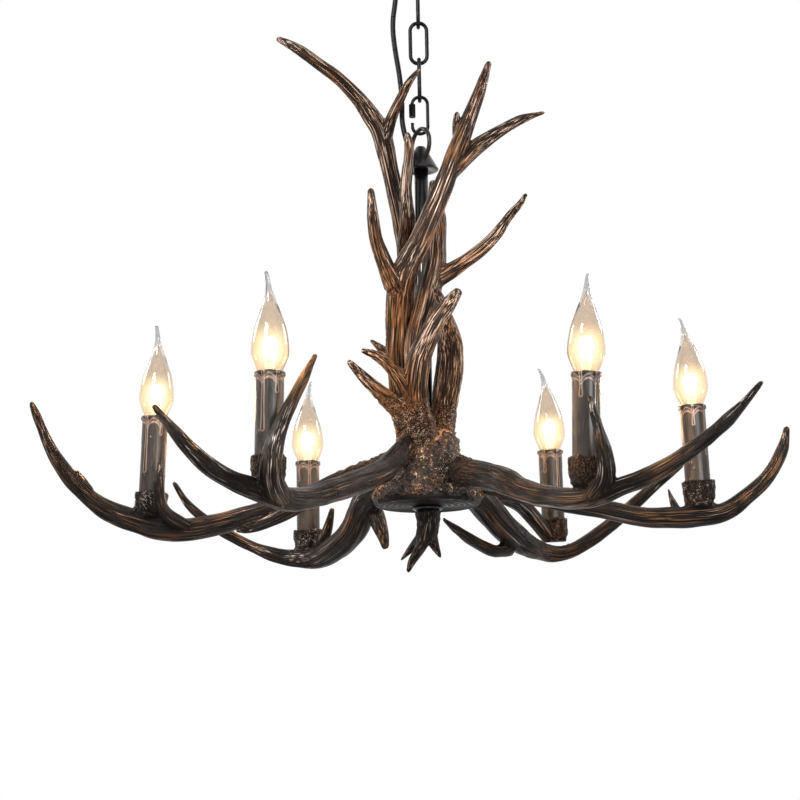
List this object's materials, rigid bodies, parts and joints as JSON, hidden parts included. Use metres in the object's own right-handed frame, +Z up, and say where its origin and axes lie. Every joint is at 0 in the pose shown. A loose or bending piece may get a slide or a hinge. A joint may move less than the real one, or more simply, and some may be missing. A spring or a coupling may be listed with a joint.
{
  "type": "antler chandelier",
  "caption": "Hanging candle chandelier of moulded antler arms on a burr hub, with upright antlers round a column, a chain, a cord and a ceiling cup.",
  "frame": {"origin": "on the ceiling, in the middle of the ceiling bracket's upper face, on the column's axis", "axes": "+Z up into the ceiling; +X to the right and -Y towards the picture's camera"},
  "size_m": [0.761, 0.5618, 0.6916],
  "materials": {
    "antler": "satin moulded resin with bronze and silver dry-brushed ridges",
    "burr": "rough moulded resin",
    "wood_disc": "dark stained, ringed end grain",
    "candle": "dark brown with moulded drips",
    "black_metal": "gloss black",
    "chain_steel": "black satin",
    "plain_steel": "zinc plated",
    "cord": "ribbed black jacket",
    "black_plastic": "gloss black",
    "holder": "off-white heat-proof plastic",
    "bulb_metal": "plated screw base",
    "bulb_glass": "clear, lit warm white"
  },
  "bodies": {
    "ceiling_fitting": {"ceiling_bracket": "plain_steel", "canopy_cup": "black_metal", "canopy_loop": "black_metal", "canopy_nut": "black_metal", "stem_locknut": "plain_steel", "cord_gland": "black_plastic", "terminal_block": "holder"},
    "chain_link_1": {"chain_link_1": "chain_steel"},
    "chain_link_2": {"chain_link_2": "chain_steel"},
    "chain_link_3": {"chain_link_3": "chain_steel"},
    "chain_link_4": {"chain_link_4": "chain_steel"},
    "quick_link": {"quick_link": "chain_steel"},
    "quick_link_sleeve": {"quick_link_sleeve": "chain_steel"},
    "fixture": {"hanging_ring": "chain_steel", "column_cap": "black_metal", "cord_bush": "black_plastic", "power_cord": "cord", "column_tube": "black_metal", "hub_body": "burr", "arm_studs": "plain_steel", "base_disc": "wood_disc", "finial_collar": "black_metal", "finial": "antler", "crown_antler_1": "antler", "crown_antler_2": "antler", "crown_antler_3": "antler", "crown_antler_4": "antler", "arm_antler_1": "antler", "candle_sleeve_1": "candle", "lampholder_1": "holder", "arm_antler_2": "antler", "candle_sleeve_2": "candle", "lampholder_2": "holder", "arm_antler_3": "antler", "candle_sleeve_3": "candle", "lampholder_3": "holder", "arm_antler_4": "antler", "candle_sleeve_4": "candle", "lampholder_4": "holder", "arm_antler_5": "antler", "candle_sleeve_5": "candle", "lampholder_5": "holder", "arm_antler_6": "antler", "candle_sleeve_6": "candle", "lampholder_6": "holder"},
    "bulb_1": {"bulb_base_1": "bulb_metal", "bulb_glass_1": "bulb_glass"},
    "bulb_2": {"bulb_base_2": "bulb_metal", "bulb_glass_2": "bulb_glass"},
    "bulb_3": {"bulb_base_3": "bulb_metal", "bulb_glass_3": "bulb_glass"},
    "bulb_4": {"bulb_base_4": "bulb_metal", "bulb_glass_4": "bulb_glass"},
    "bulb_5": {"bulb_base_5": "bulb_metal", "bulb_glass_5": "bulb_glass"},
    "bulb_6": {"bulb_base_6": "bulb_metal", "bulb_glass_6": "bulb_glass"}
  },
  "joints": [
    {"name": "loop_swing", "type": "hinge", "parent": "ceiling_fitting", "child": "chain_link_1", "pos_m": [0, 0, -0.046], "axis": [0, 1, 0], "range_deg": [-10, 10]},
    {"name": "link_1_swing", "type": "hinge", "parent": "chain_link_1", "child": "chain_link_2", "pos_m": [0, 0, -0.0853], "axis": [1, 0, 0], "range_deg": [-10, 10]},
    {"name": "link_2_swing", "type": "hinge", "parent": "chain_link_2", "child": "chain_link_3", "pos_m": [0, 0, -0.1251], "axis": [0, 1, 0], "range_deg": [-10, 10]},
    {"name": "link_3_swing", "type": "hinge", "parent": "chain_link_3", "child": "chain_link_4", "pos_m": [0, 0, -0.1649], "axis": [1, 0, 0], "range_deg": [-10, 10]},
    {"name": "quick_link_swing", "type": "hinge", "parent": "chain_link_4", "child": "quick_link", "pos_m": [0, 0, -0.2047], "axis": [0, 1, 0], "range_deg": [-10, 10]},
    {"name": "fixture_swing", "type": "hinge", "parent": "quick_link", "child": "fixture", "pos_m": [0, 0, -0.24025], "axis": [1, 0, 0], "range_deg": [-10, 10], "deforming": ["power_cord"]},
    {"name": "quick_link_screw", "type": "slide", "parent": "quick_link", "child": "quick_link_sleeve", "axis": [0, 0, -1], "range_m": [0, 0.0085]},
    {"name": "bulb_1_unscrew", "type": "slide", "parent": "fixture", "child": "bulb_1", "axis": [-0.0314, 0, 0.9995], "range_m": [0, 0.03]},
    {"name": "bulb_2_unscrew", "type": "slide", "parent": "fixture", "child": "bulb_2", "axis": [-0.018, -0.0299, 0.9994], "range_m": [0, 0.03]},
    {"name": "bulb_3_unscrew", "type": "slide", "parent": "fixture", "child": "bulb_3", "axis": [0, 0, 1], "range_m": [0, 0.03]},
    {"name": "bulb_4_unscrew", "type": "slide", "parent": "fixture", "child": "bulb_4", "axis": [0.0489, 0, 0.9988], "range_m": [0, 0.03]},
    {"name": "bulb_5_unscrew", "type": "slide", "parent": "fixture", "child": "bulb_5", "axis": [0.0183, 0.0297, 0.9994], "range_m": [0, 0.03]},
    {"name": "bulb_6_unscrew", "type": "slide", "parent": "fixture", "child": "bulb_6", "axis": [0.0273, -0.0446, 0.9986], "range_m": [0, 0.03]}
  ]
}
